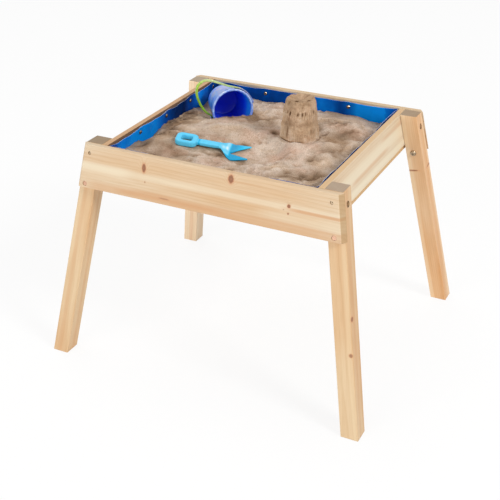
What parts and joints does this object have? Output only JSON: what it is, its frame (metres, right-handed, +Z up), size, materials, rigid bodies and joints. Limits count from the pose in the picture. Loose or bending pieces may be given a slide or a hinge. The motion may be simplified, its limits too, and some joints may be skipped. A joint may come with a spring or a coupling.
{
  "type": "sand and water table",
  "caption": "Child's sand and water table: a splayed pine frame and legs, a blue tray liner full of sand with a moulded castle, and a toy bucket and fork that lift out.",
  "frame": {"origin": "on the ground under the middle of the table", "axes": "+Z up, +X along the front plank to the right, the front plank towards -Y"},
  "size_m": [0.706, 0.6012, 0.5271],
  "materials": {
    "pine_boards": "planed pine, clear matt coat",
    "pine_legs": "planed pine, clear matt coat",
    "plywood": "plain plywood",
    "blue_vinyl": "soft PVC sheet, satin",
    "sand": "damp play sand",
    "blue_plastic": "moulded, glossy",
    "lime_plastic": "moulded, semi-gloss",
    "cyan_plastic": "moulded, semi-gloss",
    "zinc": "yellowish zinc plate",
    "brass": "brassed steel"
  },
  "bodies": {
    "table": {"front_plank": "pine_boards", "back_plank": "pine_boards", "left_side_board": "pine_boards", "right_side_board": "pine_boards", "front_left_leg": "pine_legs", "front_right_leg": "pine_legs", "back_left_leg": "pine_legs", "back_right_leg": "pine_legs", "floor_panel": "plywood", "liner": "blue_vinyl", "sand_fill": "sand", "sand_castle": "sand", "front_left_plank_screw": "zinc", "front_right_plank_screw": "zinc", "back_left_plank_screw": "zinc", "back_right_plank_screw": "zinc", "front_left_leg_bolt": "zinc", "front_right_leg_bolt": "zinc", "back_left_leg_bolt": "zinc", "back_right_leg_bolt": "zinc", "front_left_bolt_nut": "zinc", "front_right_bolt_nut": "zinc", "back_left_bolt_nut": "zinc", "back_right_bolt_nut": "zinc", "front_left_side_bolt": "zinc", "front_right_side_bolt": "zinc", "back_left_side_bolt": "zinc", "back_right_side_bolt": "zinc", "left_floor_screw_1": "zinc", "left_floor_screw_2": "zinc", "left_floor_screw_3": "zinc", "right_floor_screw_1": "zinc", "right_floor_screw_2": "zinc", "right_floor_screw_3": "zinc", "front_liner_screw_1": "brass", "front_liner_screw_2": "brass", "front_liner_screw_3": "brass", "front_liner_screw_4": "brass", "back_liner_screw_1": "brass", "back_liner_screw_2": "brass", "back_liner_screw_3": "brass", "back_liner_screw_4": "brass", "left_liner_screw_1": "brass", "left_liner_screw_2": "brass", "left_liner_screw_3": "brass", "left_liner_screw_4": "brass", "right_liner_screw_1": "brass", "right_liner_screw_2": "brass", "right_liner_screw_3": "brass", "right_liner_screw_4": "brass"},
    "bucket": {"bucket": "blue_plastic"},
    "bail": {"bucket_handle": "lime_plastic"},
    "fork": {"fork": "cyan_plastic"}
  },
  "joints": [
    {"name": "bucket_lift", "type": "slide", "parent": "table", "child": "bucket", "axis": [0, 0, 1], "range_m": [0, 0.15]},
    {"name": "bail_swing", "type": "hinge", "parent": "bucket", "child": "bail", "pos_m": [-0.12418, 0.11471, 0.44849], "axis": [0.684, 0.6756, 0.275], "range_deg": [0, 65]},
    {"name": "fork_lift", "type": "slide", "parent": "table", "child": "fork", "axis": [0, 0, 1], "range_m": [0, 0.12]}
  ]
}
